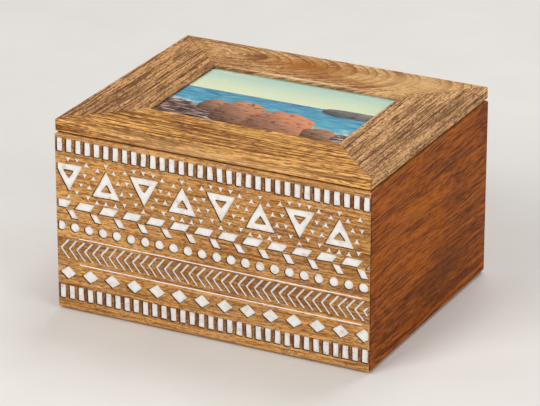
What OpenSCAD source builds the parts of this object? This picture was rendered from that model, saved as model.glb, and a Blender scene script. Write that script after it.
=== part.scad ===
// Keepsake box with a carved front and a picture frame for a lid.
// Millimetres, +Z up, front towards -Y. The origin is the middle of the face it stands on.

/* [Box body] */
// Width across the carved front
body_w = 250; // [240:1:280]
// Depth from front to back
body_d = 200; // [190:1:240]
// Height of the mitred walls
body_h = 136; // [132:1:160]
// Thickness of each wall
wall_t = 10; // [9:0.5:12]
// Rounding along the outer top edge of the walls
body_top_r = 2; // [1:0.1:2.2]
// Rounding along the outer bottom edge of the walls
body_bottom_r = 2.2; // [0.5:0.1:2.4]
// Rounding of the upright corners
body_corner_r = 0.8; // [0.4:0.1:1.2]

/* [Bottom] */
// Thickness of the bottom board
bottom_t = 4; // [3:0.2:5]
// Height of the bottom board above the lower edge of the walls
bottom_z = 6; // [4:0.5:10]
// Depth of the groove that holds the bottom board
groove_d = 5; // [3:0.5:6]
// Gap between the bottom board and the end of its groove
groove_gap = 0.3; // [0.2:0.1:0.6]

/* [Felt] */
// Thickness of the felt feet
foot_t = 1.2; // [0.8:0.1:3]
// Radius of the felt feet
foot_r = 3.7; // [3:0.1:3.8]
// Distance of the felt feet from the front and back faces
foot_inset = 46; // [20:1:70]
// Radius of the two felt dots that the closed lid rests on
rest_r = 3; // [2:0.1:3.2]
// Distance of the felt dots from the side faces
rest_inset = 14; // [11:1:60]

/* [Lid frame] */
// Gap between the closed lid and the walls
lid_gap = 1.2; // [1:0.1:1.4]
// Thickness of the lid frame
lid_t = 9.5; // [9:0.1:12]
// Width of the rails and stiles
frame_w = 49.5; // [46:0.5:54]
// Rounding along the outer edges of the lid
lid_edge_r = 2; // [1:0.1:2.2]
// Rounding along the edge around the picture
sight_r = 1.5; // [0.5:0.1:2]
// Rounding of the lid corners seen from above
lid_corner_r = 2.5; // [1:0.1:3]
// Width of the ledge that the glass lies on
ledge_w = 1.5; // [1.3:0.1:4]
// Thickness of the wood above the glass
ledge_t = 2.5; // [2.2:0.1:4]

/* [Picture] */
// Thickness of the glass
glass_t = 1.5; // [1.3:0.1:2.5]
// Thickness of the print
print_t = 0.4; // [0.2:0.1:0.6]
// Gap around the glass, print and backing board
pane_gap = 0.5; // [0.3:0.1:1]
// Width of the bright border of the print
print_margin = 0.4; // [0.2:0.1:0.6]

/* [Turn buttons] */
// Length of each turn button
button_l = 20; // [18:0.5:24]
// Width of each turn button
button_w = 8; // [7:0.5:9]
// Thickness of each turn button
button_t = 1; // [0.8:0.1:1.5]
// Distance of its screw from the edge of the rebate
button_out = 7; // [6:0.5:8]
// Distance of the screws from the ends of the rebate
button_inset = 32; // [25:1:45]
// Distance of the screw from the short end of the button
button_short = 5; // [4.5:0.5:6]

/* [Hinges] */
// Length of each hinge
hinge_l = 38; // [32:1:50]
// Distance from the middle of a hinge to the side face
hinge_inset = 55; // [45:1:75]
// Radius of the knuckles
knuckle_r = 2.2; // [2.1:0.05:2.4]
// Radius of the hinge pin
pin_r = 1.1; // [0.9:0.05:1.2]
// Radial clearance of the pin in the turning knuckle
pin_fit = 0.06; // [0.02:0.01:0.1]
// Thickness of the hinge leaves
leaf_t = 1.2; // [1:0.1:1.4]
// Width of the leaves measured from the pin axis
leaf_w = 7; // [6.5:0.1:7.5]
// Distance of the pin axis inside the back face
axis_inset = 1.5; // [1.4:0.05:1.6]
// Distance of the outer screws from the ends of a leaf
hinge_screw_end = 7; // [5:0.5:8]

/* [Screws] */
// Radius of the screw shanks
shank_r = 1.1; // [0.9:0.05:1.2]
// Radius of the countersunk heads
head_r = 2.1; // [1.9:0.1:2.3]
// Length of the screws in the back wall
body_screw_l = 12; // [8:1:20]
// Length of the screws in the lid
lid_screw_l = 7; // [5:0.5:7.5]
// Radius of the raised heads on the turn buttons
round_head_r = 2.5; // [2.2:0.1:3]
// Height of the raised heads
round_head_h = 1.4; // [1:0.1:1.8]
// Radial clearance of a turn button on its screw
button_fit = 0.08; // [0.04:0.01:0.1]

/* [Frame wedges] */
// Thickness of the steel wedges across the frame mitres
wedge_t = 0.6; // [0.4:0.1:1]
// Reach of each leg of a wedge
wedge_leg = 4; // [3:0.5:5]
// How deep the wedges are pressed in
wedge_d = 6; // [4:0.5:7]
// Distance of the outer wedges from the sides of the lid
wedge_outer = 14; // [10:1:18]
// Distance of the inner wedges from the sides of the lid
wedge_inner = 30; // [24:1:38]

/* [Carving] */
// Depth of the large whitened recesses
carve_d = 1; // [0.4:0.1:1.4]
// Depth of the small chips, chevrons and fine lines
fine_d = 0.5; // [0.3:0.1:0.8]
// Plain wood kept beside the upright corners
carve_margin = 1.2; // [1.2:0.1:3]
// How much lower the rows run at the right end than at the left
row_drop = 1.2; // [0:0.1:2]
// Number of upright bars in the top and bottom rows
bar_count = 33; // [30:1:34]
// Number of large triangles
triangle_count = 8; // [7:1:9]
// Number of leaning blocks in the feather row
feather_count = 13; // [12:1:14]
// Number of round spots
spot_count = 22; // [20:1:23]
// Number of chevrons
chevron_count = 38; // [34:1:40]
// Number of diamonds
diamond_count = 14; // [12:1:15]
// Width of one bar
bar_w = 5; // [3.5:0.1:5.2]
// Height of one bar
bar_h = 10.8; // [8:0.1:11]
// Width of a large triangle
triangle_w = 24; // [20:0.1:24.4]
// Height of a large triangle
triangle_h = 21.8; // [18:0.1:22]
// Radius of a round spot
spot_r = 3.8; // [2.5:0.1:4]
// Thickness of a chevron along the row
chevron_line = 1.9; // [0.8:0.05:2]
// Half width of a diamond
diamond_w = 7.1; // [5:0.1:7.5]
// Half height of a diamond
diamond_h = 5.7; // [4:0.1:6]
// Height of the fine lines
line_h = 0.9; // [0.6:0.1:1.2]

/* [Carved rows, measured down from the upper edge of the wall] */
// Top of the upper bars
upper_bars_at = 3.5; // [3:0.1:5]
// Middle of the triangles
triangles_at = 33.6; // [32:0.1:34]
// Top of the feather row
feathers_at = 50.9; // [50:0.1:52]
// Middle of the spots
spots_at = 71.5; // [70:0.1:72]
// Upper fine line
upper_line_at = 79; // [78:0.1:80]
// Points of the chevrons
chevrons_at = 88.9; // [88:0.1:90]
// Lower fine line
lower_line_at = 99.2; // [98:0.1:100]
// Middle of the diamonds
diamonds_at = 107.9; // [107:0.1:109]
// Top of the lower bars
lower_bars_at = 117.8; // [117:0.1:120]

/* [Hidden] */
$fn = 32;
wall_z0 = foot_t;
wall_z1 = wall_z0 + body_h;
lid_z0 = wall_z1 + lid_gap;
lid_z1 = lid_z0 + lid_t;
inner_w = body_w - 2 * wall_t;
inner_d = body_d - 2 * wall_t;
sight_w = body_w - 2 * frame_w;
sight_d = body_d - 2 * frame_w;
rebate_w = sight_w + 2 * ledge_w;
rebate_d = sight_d + 2 * ledge_w;
pane_w = rebate_w - 2 * pane_gap;
pane_d = rebate_d - 2 * pane_gap;
glass_z1 = lid_z1 - ledge_t;
glass_z0 = glass_z1 - glass_t;
print_z0 = glass_z0 - print_t;
button_z0 = lid_z0 - button_t;
button_y = rebate_d / 2 + button_out;
foot_x = (wall_t + body_bottom_r) / 2;
axis_y = body_d / 2 - axis_inset;
axis_z = wall_z1 + lid_gap / 2;
leaf_gap = lid_gap / 2;
knuckle_l = hinge_l / 3;
knuckle_end = 0.1;
knuckle_room = 0.3;
mortise_room = 0.1;
head_h = head_r - shank_r;
tip_l = 2;
slot_w = 0.6;
slot_d = 0.5;
hinge_screw_y = 4.2;
hinge_x = body_w / 2 - hinge_inset;
hinge_screw_x = hinge_l / 2 - hinge_screw_end;
button_x = rebate_w / 2 - button_inset;
bar_first = 3.7;
triangle_first = 10.5;
triangle_last = 24.2;
feather_first = -4.8;
feather_last = 23.5;
spot_first = 3.5;
chevron_first = 2.4;
chevron_last = 5.8;
diamond_first = 8.6;
diamond_last = 4.5;
chip_w = 5.5;
chip_h = 4.5;
chip_top = 1.6;
chip_waist = 1.3;
eye_w = 7.8;
eye_h = 5.3;
eye_top = 5.6;
block_h = 6.5;
block_w = 13.2;
block_lean = 4.6;
barb_w = 6.2;
barb_h = 7;
barb_lean = 4;
barb_gap = 0.5;
chevron_arm = 6.4;
chevron_slope = 1.17;
line_end = 6;
line_start = 18;
over = 1;

// The waste left when a corner at the origin is rounded.
module corner_waste(r) {
    difference() {
        translate([-over, -over]) square(r + over);
        translate([r, r]) circle(r);
    }
}

// Plan of a bar mitred at both ends, outer edge on the X axis and inner edge towards +Y.
module mitre_plan(length, width, corner_r) {
    difference() {
        polygon([[-length / 2, 0], [length / 2, 0], [length / 2 - width, width],
            [width - length / 2, width]]);
        translate([-length / 2, 0]) corner_waste(corner_r);
        translate([length / 2, 0]) mirror([1, 0]) corner_waste(corner_r);
    }
}

// Runs a cross-section (across, up) along X and trims both ends to the mitres.
module mitred_bar(length, width, height, corner_r) {
    intersection() {
        translate([-length / 2, 0, 0]) rotate([90, 0, 90]) linear_extrude(length) children();
        linear_extrude(height) mitre_plan(length, width, corner_r);
    }
}

// Turns a bar that faces the front to face side k: 0 front, 1 right, 2 back, 3 left.
module to_side(k) {
    rotate([0, 0, 90 * k]) translate([0, -(k % 2 == 0 ? body_d : body_w) / 2, 0]) children();
}

// Cross-section of a wall, outer face at zero, with the groove for the bottom board.
module wall_section() {
    difference() {
        square([wall_t, body_h]);
        corner_waste(body_bottom_r);
        translate([0, body_h]) mirror([0, 1]) corner_waste(body_top_r);
        translate([wall_t - groove_d, bottom_z]) square([groove_d + over, bottom_t]);
    }
}

module wall(k) {
    to_side(k)
        translate([0, 0, wall_z0])
            mitred_bar(k % 2 == 0 ? body_w : body_d, wall_t, body_h, body_corner_r) wall_section();
}

// Cross-section of a lid rail with the rebate for glass, print and backing board.
module rail_section() {
    difference() {
        square([frame_w, lid_t]);
        corner_waste(lid_edge_r);
        translate([0, lid_t]) mirror([0, 1]) corner_waste(lid_edge_r);
        translate([frame_w, lid_t]) rotate(180) corner_waste(sight_r);
        translate([frame_w - ledge_w, -over]) square([ledge_w + over, lid_t - ledge_t + over]);
    }
}

module lid_rail(k) {
    difference() {
        to_side(k)
            translate([0, 0, lid_z0])
                mitred_bar(k % 2 == 0 ? body_w : body_d, frame_w, lid_t, lid_corner_r) rail_section();
        corner_wedges();
    }
}

// One recess outline placed on the carved face: x from its left edge, drop below its top edge.
module carve(x, drop, depth = carve_d) {
    translate([x - body_w / 2, depth - body_d / 2, wall_z1 - drop - row_drop * (x / body_w - 0.5)])
        rotate([90, 0, 0])
            linear_extrude(depth + over) children();
}

// Middle of motif i when count of them run from first to last, as distances from the two side faces.
function along(i, count, first, last) = first + i * (body_w - first - last) / (count - 1);

// Upright bars in one row, the outer ones trimmed beside the corners.
module bar_row(drop) {
    for (i = [0 : bar_count - 1]) {
        x = along(i, bar_count, bar_first, bar_first);
        x0 = max(x - bar_w / 2, carve_margin);
        x1 = min(x + bar_w / 2, body_w - carve_margin);
        carve(x, drop) translate([x0 - x, -bar_h]) square([x1 - x0, bar_h]);
    }
}

// Small three-pointed chip cut, one point down.
module chip() {
    a = chip_w / 2;
    b = chip_waist;
    polygon([[-a, chip_top], [0, chip_top / 2], [a, chip_top], [b, 0], [0, chip_top - chip_h], [-b, 0]]);
}

// A large hollow triangle, point down.
module triangle() {
    difference() {
        polygon([[-triangle_w / 2, triangle_h / 2], [triangle_w / 2, triangle_h / 2], [0, -triangle_h / 2]]);
        polygon([[-eye_w / 2, eye_top], [eye_w / 2, eye_top], [0, eye_top - eye_h]]);
    }
}

// The chip cuts that ring a triangle: x and height from its middle, and 1 where the point is up.
chip_ring = [
    [-7.6, 15, 0], [0, 15, 0], [7.6, 15, 0], [-15, 12.2, 1], [15, 12.2, 1],
    [-13.4, 4.4, 0], [13.4, 4.4, 0], [-10.3, -3.2, 0], [10.3, -3.2, 0], [-6.6, -9.9, 0],
    [6.6, -9.9, 0], [0, -14.6, 1]
];

// Hollow triangles that alternately point down and up, the first one cut off beside the corner.
module triangle_row() {
    for (i = [0 : triangle_count - 1]) {
        x = along(i, triangle_count, triangle_first, triangle_last);
        carve(x, triangles_at)
            difference() {
                mirror([0, i % 2]) triangle();
                translate([carve_margin - x - triangle_w, -triangle_h])
                    square([triangle_w, 2 * triangle_h]);
            }
    }
}

// The chip cuts round each triangle, and those of one more triangle that the right corner cuts off.
module chip_row() {
    for (i = [0 : triangle_count]) {
        for (c = chip_ring) {
            x = along(i, triangle_count, triangle_first, triangle_last) + c[0];
            up = (c[2] + i) % 2;
            turn = i % 2 == 0 ? 1 : -1;
            if (x > carve_margin + chip_w / 2 && x < body_w - carve_margin - chip_w / 2)
                carve(x, triangles_at, fine_d) translate([0, turn * c[1]]) mirror([0, up]) chip();
        }
    }
}

// Leaning blocks with a slanted barb under each space between them.
module feather_row() {
    for (i = [0 : feather_count - 1]) {
        x = along(i, feather_count, feather_first, feather_last);
        x0 = i == 0 ? carve_margin - x : 0;
        carve(x, feathers_at)
            polygon([[x0, -block_h], [block_w, -block_h], [block_w + block_lean, 0],
                [max(block_lean, x0), 0]]);
    }
    for (i = [1 : feather_count]) {
        x = along(i, feather_count, feather_first, feather_last);
        rest = body_w - carve_margin - x;
        end = min(barb_lean, rest);
        if (rest < block_lean)
            carve(x, feathers_at)
                polygon([[0, -block_h], [rest, -block_h], [rest, (rest / block_lean - 1) * block_h]]);
        carve(x, feathers_at + block_h + barb_gap)
            polygon([[-barb_gap - barb_w, 0], [-barb_gap, 0], [end, -barb_h], [end - barb_w, -barb_h]]);
    }
}

// Round spots, the first one cut off beside the corner.
module spot_row() {
    for (i = [0 : spot_count - 1]) {
        x = along(i, spot_count, spot_first, spot_first + carve_margin + 0.6);
        carve(x, spots_at)
            difference() {
                circle(spot_r, $fn = 20);
                translate([carve_margin - x - 2 * spot_r, -spot_r]) square(2 * spot_r);
            }
    }
}

// Chevrons pointing left.
module chevron_row() {
    for (i = [0 : chevron_count - 1]) {
        x = along(i, chevron_count, chevron_first, chevron_last);
        arm = min(chevron_arm, body_w - carve_margin - chevron_line - x);
        rise = arm * chevron_slope;
        carve(x, chevrons_at, fine_d)
            polygon([[0, 0], [arm, rise], [arm + chevron_line, rise], [chevron_line, 0],
                [arm + chevron_line, -rise], [arm, -rise]]);
    }
}

// Diamonds, the last one cut off beside the corner.
module diamond_row() {
    for (i = [0 : diamond_count - 1]) {
        x = along(i, diamond_count, diamond_first, diamond_last);
        right = min(diamond_w, body_w - carve_margin - x);
        edge = diamond_h * (1 - right / diamond_w);
        carve(x, diamonds_at)
            polygon([[-diamond_w, 0], [0, diamond_h], [right, edge], [right, -edge], [0, -diamond_h]]);
    }
}

// A fine line that runs with the rows.
module line_row(drop) {
    length = body_w - line_start - line_end;
    fall = row_drop * length / body_w;
    carve(line_start, drop, fine_d)
        polygon([[0, 0], [length, -fall], [length, -fall - line_h], [0, -line_h]]);
}

module front_panel() {
    color([0.70, 0.45, 0.24])
        difference() {
            wall(0);
            bar_row(upper_bars_at);
            triangle_row();
            chip_row();
            feather_row();
            spot_row();
            line_row(upper_line_at);
            chevron_row();
            line_row(lower_line_at);
            diamond_row();
            bar_row(lower_bars_at);
        }
}

module right_side_panel() {
    color([0.48, 0.28, 0.15]) wall(1);
}

module left_side_panel() {
    color([0.48, 0.28, 0.15]) wall(3);
}

module back_panel() {
    color([0.55, 0.33, 0.18])
        difference() {
            wall(2);
            for (s = [-1, 1]) {
                translate([s * hinge_x, axis_y, axis_z]) {
                    leaf_mortise();
                    leaf_screws(body_screw_l);
                }
            }
        }
}

// Bottom board, let into the grooves of all four walls.
module bottom_board() {
    reach = 2 * (groove_d - groove_gap);
    board_w = inner_w + reach;
    board_d = inner_d + reach;
    color([0.78, 0.62, 0.42])
        translate([-board_w / 2, -board_d / 2, wall_z0 + bottom_z])
            cube([board_w, board_d, bottom_t]);
}

module foot_pads() {
    color([0.16, 0.12, 0.10])
        for (sx = [-1, 1], sy = [-1, 1])
            translate([sx * (body_w / 2 - foot_x), sy * (body_d / 2 - foot_inset), 0])
                cylinder(r = foot_r, h = foot_t);
}

// Felt dots near the front corners that keep the closed lid level.
module lid_rest_pads() {
    color([0.16, 0.12, 0.10])
        for (s = [-1, 1])
            translate([s * (body_w / 2 - rest_inset), (wall_t - body_d) / 2, wall_z1])
                cylinder(r = rest_r, h = lid_gap);
}

// Holes in a rail for the shanks of its two turn-button screws; side is -1 in front and 1 behind.
module button_screw_holes(side) {
    for (s = [-1, 1])
        translate([s * button_x, side * button_y, lid_z0]) mirror([0, 0, 1]) plain_shank(lid_screw_l - over);
}

module lid_front_rail() {
    color([0.72, 0.50, 0.28])
        difference() {
            lid_rail(0);
            button_screw_holes(-1);
        }
}

module lid_right_stile() {
    color([0.58, 0.44, 0.30]) lid_rail(1);
}

module lid_left_stile() {
    color([0.58, 0.44, 0.30]) lid_rail(3);
}

module lid_back_rail() {
    color([0.72, 0.55, 0.36])
        difference() {
            lid_rail(2);
            for (s = [-1, 1]) {
                translate([s * hinge_x, axis_y, axis_z]) mirror([0, 0, 1]) {
                    leaf_mortise();
                    leaf_screws(lid_screw_l);
                }
            }
            button_screw_holes(1);
        }
}

// Bent steel wedges pressed into the underside across each mitre, two to a corner.
module corner_wedges() {
    t = wedge_t / sqrt(2);
    for (sx = [0, 1], sy = [0, 1], inset = [wedge_outer, wedge_inner])
        mirror([sx, 0, 0]) mirror([0, sy, 0])
            translate([body_w / 2 - inset, body_d / 2 - inset, lid_z0]) rotate([0, 0, 45])
                linear_extrude(wedge_d)
                    polygon([[0, 0], [wedge_leg, wedge_leg], [wedge_leg - t, wedge_leg + t], [-2 * t, 0],
                        [wedge_leg - t, -wedge_leg - t], [wedge_leg, -wedge_leg]]);
}

module lid_corner_wedges() {
    color([0.60, 0.60, 0.62]) corner_wedges();
}

module pane(z0, z1, inset) {
    translate([inset - pane_w / 2, inset - pane_d / 2, z0])
        cube([pane_w - 2 * inset, pane_d - 2 * inset, z1 - z0]);
}

module glass_pane() {
    color([0.85, 0.93, 0.92, 0.3]) pane(glass_z0, glass_z1, 0);
}

module picture_print() {
    color([0.45, 0.58, 0.62]) pane(print_z0, glass_z0, print_margin);
}

module backing_board() {
    color([0.45, 0.33, 0.22]) pane(lid_z0, print_z0, 0);
}

// Shank and point of a screw, running down from the origin.
module plain_shank(length) {
    translate([0, 0, tip_l - length]) cylinder(r = shank_r, h = length - tip_l);
    translate([0, 0, -length]) cylinder(r1 = 0.2, r2 = shank_r, h = tip_l);
}

// Countersunk screw with its top at the origin.
module flat_screw(length) {
    translate([0, 0, -head_h]) cylinder(r1 = shank_r, r2 = head_r, h = head_h);
    translate([0, 0, -head_h]) plain_shank(length - head_h);
}

// The pair of screws in one leaf below the hinge axis.
module leaf_screws(length) {
    for (s = [-1, 1])
        translate([s * hinge_screw_x, -hinge_screw_y, -leaf_gap]) flat_screw(length);
}

// The same screws with their slots cut.
module slotted_leaf_screws(length) {
    difference() {
        leaf_screws(length);
        for (s = [-1, 1])
            translate([s * hinge_screw_x, -hinge_screw_y, over / 2 - leaf_gap - slot_d])
                cube([2 * head_r + over, slot_w, over], center = true);
    }
}

// Recess in the wood for a leaf and the knuckles, hinge axis at the origin.
module leaf_mortise() {
    length = hinge_l + 2 * mortise_room;
    translate([-length / 2, -leaf_w - mortise_room, -leaf_gap - leaf_t])
        cube([length, leaf_w + mortise_room, leaf_t + over]);
    translate([-length / 2, 0, 0]) rotate([0, 90, 0]) cylinder(r = knuckle_r + knuckle_room, h = length);
}

// One knuckle along the hinge axis.
module knuckle(x0, x1, r) {
    translate([x0, 0, 0]) rotate([0, 90, 0]) cylinder(r = r, h = x1 - x0);
}

module leaf_plate() {
    translate([-hinge_l / 2, -leaf_w, -leaf_gap - leaf_t]) cube([hinge_l, leaf_w, leaf_t]);
}

// Leaf on the box with the two outer knuckles.
module box_leaf() {
    difference() {
        union() {
            leaf_plate();
            knuckle(-hinge_l / 2, hinge_l / 2, knuckle_r);
        }
        knuckle(-knuckle_l / 2 - knuckle_end, knuckle_l / 2 + knuckle_end, knuckle_r + knuckle_room);
        knuckle(-hinge_l / 2 - over, hinge_l / 2 + over, pin_r);
        leaf_screws(body_screw_l);
    }
}

// Leaf on the lid with the middle knuckle, drawn below the axis and then turned over.
module lid_leaf() {
    difference() {
        union() {
            difference() {
                leaf_plate();
                knuckle(-hinge_l / 2 - over, -knuckle_l / 2 + knuckle_end, knuckle_r + knuckle_room);
                knuckle(knuckle_l / 2 - knuckle_end, hinge_l / 2 + over, knuckle_r + knuckle_room);
            }
            knuckle(knuckle_end - knuckle_l / 2, knuckle_l / 2 - knuckle_end, knuckle_r);
        }
        knuckle(-hinge_l / 2, hinge_l / 2, pin_r + pin_fit);
        leaf_screws(lid_screw_l);
    }
}

module at_hinge(s) {
    translate([s * hinge_x, axis_y, axis_z]) children();
}

module left_hinge_box_leaf() {
    color([0.72, 0.58, 0.30]) at_hinge(-1) box_leaf();
}

module right_hinge_box_leaf() {
    color([0.72, 0.58, 0.30]) at_hinge(1) box_leaf();
}

module left_hinge_lid_leaf() {
    color([0.72, 0.58, 0.30]) at_hinge(-1) mirror([0, 0, 1]) lid_leaf();
}

module right_hinge_lid_leaf() {
    color([0.72, 0.58, 0.30]) at_hinge(1) mirror([0, 0, 1]) lid_leaf();
}

module left_hinge_pin() {
    color([0.62, 0.50, 0.28]) at_hinge(-1) knuckle(-hinge_l / 2, hinge_l / 2, pin_r);
}

module right_hinge_pin() {
    color([0.62, 0.50, 0.28]) at_hinge(1) knuckle(-hinge_l / 2, hinge_l / 2, pin_r);
}

module hinge_box_screws() {
    color([0.70, 0.56, 0.30])
        for (s = [-1, 1])
            at_hinge(s) slotted_leaf_screws(body_screw_l);
}

module hinge_lid_screws() {
    color([0.70, 0.56, 0.30])
        for (s = [-1, 1])
            at_hinge(s) mirror([0, 0, 1]) slotted_leaf_screws(lid_screw_l);
}

// Turn button closed over the backing board, its screw at (sx, sy) times its place on the lid.
module turn_button(sx, sy) {
    r = button_w / 2;
    color([0.72, 0.58, 0.30])
        translate([sx * button_x, sy * button_y, button_z0]) rotate([0, 0, sy > 0 ? 180 : 0])
            linear_extrude(button_t)
                difference() {
                    union() {
                        translate([-r, r - button_short]) square([button_w, button_l - button_w]);
                        translate([0, r - button_short]) circle(r);
                        translate([0, button_l - button_short - r]) circle(r);
                    }
                    circle(shank_r + button_fit);
                }
}

module turn_button_front_left() {
    turn_button(-1, -1);
}

module turn_button_front_right() {
    turn_button(1, -1);
}

module turn_button_back_left() {
    turn_button(-1, 1);
}

module turn_button_back_right() {
    turn_button(1, 1);
}

// Raised-head screw standing on a turn button, head down.
module round_screw() {
    point = button_t + lid_screw_l - over - tip_l;
    difference() {
        union() {
            translate([0, 0, -round_head_h / 2]) cylinder(r = round_head_r, h = round_head_h / 2);
            translate([0, 0, -round_head_h])
                cylinder(r1 = round_head_r - round_head_h / 2, r2 = round_head_r, h = round_head_h / 2);
            cylinder(r = shank_r, h = point);
            translate([0, 0, point]) cylinder(r1 = shank_r, r2 = 0.2, h = tip_l);
        }
        translate([-round_head_r - over, -slot_w / 2, -round_head_h - over])
            cube([2 * (round_head_r + over), slot_w, over + slot_d]);
    }
}

module turn_button_screws() {
    color([0.70, 0.56, 0.30])
        for (sx = [-1, 1], sy = [-1, 1])
            translate([sx * button_x, sy * button_y, button_z0]) round_screw();
}

front_panel();
right_side_panel();
back_panel();
left_side_panel();
bottom_board();
foot_pads();
lid_rest_pads();
lid_front_rail();
lid_right_stile();
lid_back_rail();
lid_left_stile();
lid_corner_wedges();
glass_pane();
picture_print();
backing_board();
left_hinge_box_leaf();
left_hinge_lid_leaf();
left_hinge_pin();
right_hinge_box_leaf();
right_hinge_lid_leaf();
right_hinge_pin();
hinge_box_screws();
hinge_lid_screws();
turn_button_front_left();
turn_button_front_right();
turn_button_back_left();
turn_button_back_right();
turn_button_screws();
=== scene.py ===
# %% [markdown]
# # A carved keepsake box with a picture-frame lid
#
# The solids of the box come from its CAD model: four mitred walls, a bottom board, a lid framed
# like a picture, glass, print and backing board, hinges, screws and felt. This lesson gives them
# their woods and finishes. It models two kinds of piece once more, where handwork or softness makes
# the look: the carved and whitened front, and the felt discs. Lengths are in metres, and the front
# faces -Y.

# %% Load the solids
import math

import bmesh
import bpy
from mathutils import Matrix, Vector, noise
from mathutils.geometry import delaunay_2d_cdt


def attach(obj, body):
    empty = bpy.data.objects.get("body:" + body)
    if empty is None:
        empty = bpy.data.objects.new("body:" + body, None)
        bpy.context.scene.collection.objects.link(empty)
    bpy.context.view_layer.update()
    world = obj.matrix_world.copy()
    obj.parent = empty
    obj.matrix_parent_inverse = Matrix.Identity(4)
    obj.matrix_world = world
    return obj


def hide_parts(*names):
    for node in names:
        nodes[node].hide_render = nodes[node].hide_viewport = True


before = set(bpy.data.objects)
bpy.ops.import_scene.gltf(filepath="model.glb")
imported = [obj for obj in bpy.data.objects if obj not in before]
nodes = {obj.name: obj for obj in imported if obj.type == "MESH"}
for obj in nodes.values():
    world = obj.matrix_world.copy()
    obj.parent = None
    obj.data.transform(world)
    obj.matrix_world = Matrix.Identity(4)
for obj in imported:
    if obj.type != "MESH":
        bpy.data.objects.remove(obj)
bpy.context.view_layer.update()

scene = bpy.context.scene

# %% [markdown]
# ## Camera
# The box is seen from its front right, a little from above, through a long lens, so that its
# upright edges stay almost parallel. The camera is placed by its turn round the box, its height
# angle and its distance, which is how a photographer would describe the view. Sensor and lens are
# in millimetres.

# %% Place the camera
VIEW_TURN, VIEW_HEIGHT = math.radians(26.94), math.radians(22.54)
VIEW_TARGET, VIEW_DISTANCE = Vector((-0.00735, 0.00797, 0.065)), 2.4249
SENSOR_WIDTH, LENS_LENGTH = 36, 220.55

camera = bpy.data.objects.new("camera", bpy.data.cameras.new("camera"))
scene.collection.objects.link(camera)
scene.camera = camera
towards_camera = Vector((math.sin(VIEW_TURN) * math.cos(VIEW_HEIGHT),
                         -math.cos(VIEW_TURN) * math.cos(VIEW_HEIGHT),
                         math.sin(VIEW_HEIGHT)))
camera.location = VIEW_TARGET + towards_camera * VIEW_DISTANCE
camera.rotation_mode = "QUATERNION"
camera.rotation_quaternion = (-towards_camera).to_track_quat("-Z", "Y")
camera.data.sensor_width = SENSOR_WIDTH
camera.data.lens = LENS_LENGTH
print("camera at", tuple(round(v, 3) for v in camera.location))

# %% [markdown]
# ## Light
# Studio light for wood comes from large, soft lamps. One wide lamp stands to the front left, a
# weaker one fills the right side, and one from above and behind draws the edges of the lid. The
# world gives an even, low light. The Standard view transform keeps the colours as they are set.

# %% Hang the lamps
def soft_lamp(name, place, aim, width, power):
    """A square lamp of the given width in metres that faces its aim."""
    light = bpy.data.lights.new(name, "AREA")
    light.shape = "SQUARE"
    light.size = width
    light.energy = power
    lamp = bpy.data.objects.new(name, light)
    scene.collection.objects.link(lamp)
    lamp.location = place
    lamp.rotation_euler = (Vector(aim) - Vector(place)).to_track_quat("-Z", "Y").to_euler()

soft_lamp("main lamp", (-0.7, -1.9, 1.5), (0, 0, 0.07), 1.1, 27)
soft_lamp("right lamp", (1.9, -0.7, 0.9), (0, 0, 0.07), 1.2, 12)
soft_lamp("top lamp", (0.1, 0.9, 1.9), (0, 0, 0.1), 1.0, 14)

scene.view_settings.view_transform = "Standard"
world = bpy.data.worlds.new("studio")
scene.world = world
world.use_nodes = True
even_light = world.node_tree.nodes["Background"].inputs
even_light["Color"].default_value = (1.0, 0.985, 0.965, 1)
even_light["Strength"].default_value = 0.42

# %% [markdown]
# ## Helpers for shader nodes
# A material is a small machine of nodes. Helpers keep the later cells short: they add a node and
# set its values, do one step of arithmetic, make a colour ramp, mix two colours, stretch a noise,
# turn a height into relief, and start a material or a group. Both kinds of graph are written with
# the same helpers.

# %% Node helpers
def add_node(tree, kind, links=None, **settings):
    """A node of the given kind; links maps an input's name or number to a socket or to a value."""
    made = tree.nodes.new(kind)
    for key, value in settings.items():
        setattr(made, key, value)
    for key, value in (links or {}).items():
        socket = made.inputs[key]
        if isinstance(value, bpy.types.NodeSocket):
            tree.links.new(value, socket)
        else:
            socket.default_value = value
    return made

def calc(tree, operation, a, b=0.0, c=0.0, clamp=False):
    """One arithmetic step; gives its result."""
    step = add_node(tree, "ShaderNodeMath", {0: a, 1: b, 2: c}, operation=operation, use_clamp=clamp)
    return step.outputs[0]

def ramp(tree, factor, stops):
    """A colour ramp from stops of (place, grey or colour); gives its colour."""
    made = add_node(tree, "ShaderNodeValToRGB", {"Fac": factor})
    points = made.color_ramp.elements
    while len(points) < len(stops):
        points.new(0.5)
    for point, (place, shade) in zip(points, stops):
        point.position = place
        point.color = (*shade, 1) if isinstance(shade, tuple) else (shade, shade, shade, 1)
    return made.outputs["Color"]

def blend_colours(tree, amount, first, second):
    """Mixes two colours by an amount; gives the mixed colour."""
    made = add_node(tree, "ShaderNodeMix", data_type="RGBA")
    for number, value in ((0, amount), (6, first), (7, second)):
        if isinstance(value, bpy.types.NodeSocket):
            tree.links.new(value, made.inputs[number])
        else:
            made.inputs[number].default_value = (*value, 1) if isinstance(value, tuple) else value
    return made.outputs[2]

def stretched_noise(tree, vector, scale, detail=4.0, rough=0.6, shift=(0, 0, 0)):
    """A noise stretched by a scale for each direction and moved by a shift; gives its value."""
    mapped = add_node(tree, "ShaderNodeMapping", {"Vector": vector, "Scale": scale, "Location": shift})
    return add_node(tree, "ShaderNodeTexNoise", {"Vector": mapped.outputs[0], "Scale": 1.0,
                                                 "Detail": detail, "Roughness": rough}).outputs["Fac"]

def add_relief(tree, shader, strength, distance, height):
    """Lets a height bend the light on the shader, as fine dents and ridges would."""
    bump = add_node(tree, "ShaderNodeBump", {"Strength": strength, "Distance": distance, "Height": height})
    tree.links.new(bump.outputs[0], shader.inputs["Normal"])

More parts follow.
